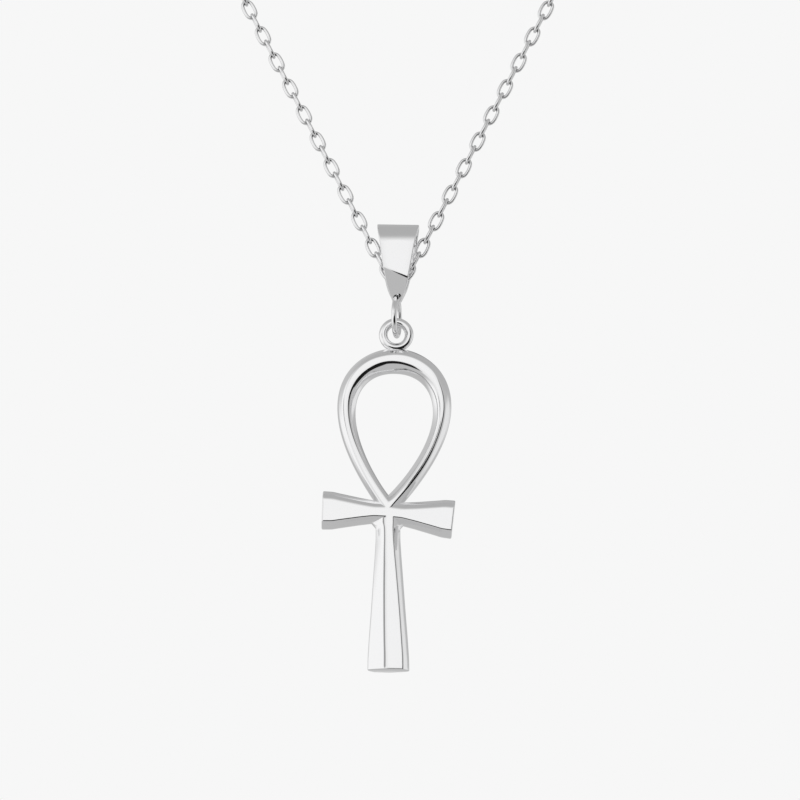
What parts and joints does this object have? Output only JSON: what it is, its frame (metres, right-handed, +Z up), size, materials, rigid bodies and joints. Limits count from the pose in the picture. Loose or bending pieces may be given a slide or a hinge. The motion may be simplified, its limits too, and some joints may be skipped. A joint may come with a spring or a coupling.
{
  "type": "ankh pendant necklace",
  "caption": "Ankh cross pendant with a drop-shaped loop, hung by a round ring and a folded bail on a fine cable chain that closes at the nape.",
  "frame": {"origin": "middle of the clasp, where the chain crosses the nape of the neck", "axes": "+Z up, +X to the right as seen from the front, the front of the pendant faces -Y"},
  "size_m": [0.1172, 0.1135, 0.1506],
  "materials": {
    "ankh": "polished",
    "connector_ring": "polished",
    "bail": "polished",
    "chain": "polished",
    "end_ring": "polished",
    "clasp": "polished"
  },
  "bodies": {
    "necklace": {"chain": "chain", "end_ring": "end_ring", "clasp": "clasp"},
    "bail": {"bail": "bail"},
    "connector": {"connector_ring": "connector_ring"},
    "ankh": {"ankh": "ankh"}
  },
  "joints": [
    {"name": "bail_swing", "type": "hinge", "parent": "necklace", "child": "bail", "pos_m": [0, -0.11, -0.1101], "axis": [1, 0, 0], "range_deg": [-18, 18]},
    {"name": "ring_swing", "type": "hinge", "parent": "bail", "child": "connector", "pos_m": [-0.00006, -0.11, -0.11238], "axis": [0.1392, 0.9903, 0], "range_deg": [-30, 30]},
    {"name": "ankh_swing", "type": "hinge", "parent": "connector", "child": "ankh", "pos_m": [-0.00011, -0.11, -0.11464], "axis": [1, 0, 0], "range_deg": [-45, 45]}
  ]
}
